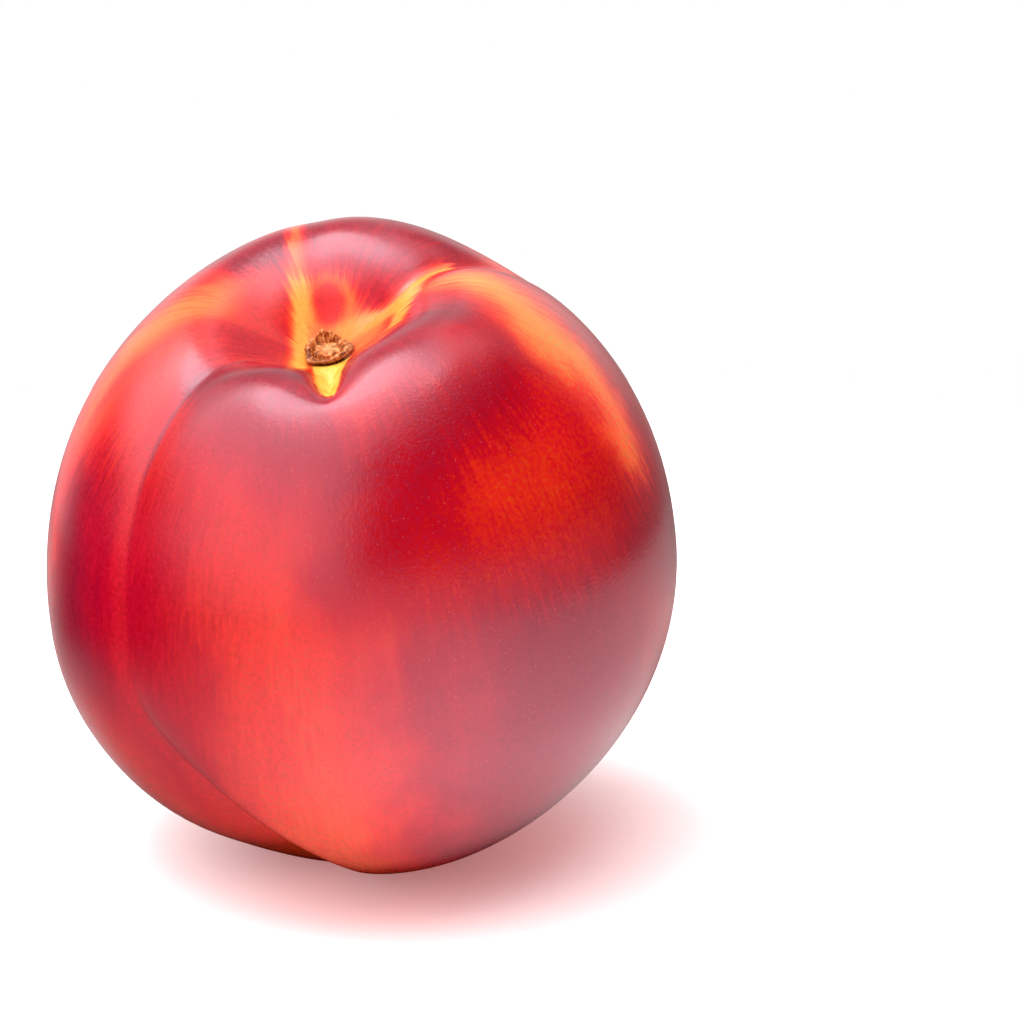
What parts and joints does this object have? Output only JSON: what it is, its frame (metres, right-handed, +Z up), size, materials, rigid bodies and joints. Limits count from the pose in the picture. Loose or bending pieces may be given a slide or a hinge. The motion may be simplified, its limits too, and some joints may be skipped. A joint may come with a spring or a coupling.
{
  "type": "nectarine",
  "caption": "Whole ripe nectarine as picked, resting on a small flat spot, with a fold down one side and the dried stub of its stem in the hollow on top.",
  "frame": {"origin": "middle of the flat spot that the fruit rests on", "axes": "+Z up from the surface it rests on, -Y towards the side that the stem hollow leans to, +X to the right of someone facing that side"},
  "size_m": [0.0728, 0.0724, 0.0737],
  "materials": {
    "nectarine_skin": "smooth hairless ripe skin, crimson blush over orange and yellow, satin gloss with fine pale specks",
    "dried_stem": "dry, dull, ochre brown, fibrous"
  },
  "bodies": {
    "root": {"fruit": "nectarine_skin", "stem_stub": "dried_stem"}
  },
  "joints": []
}
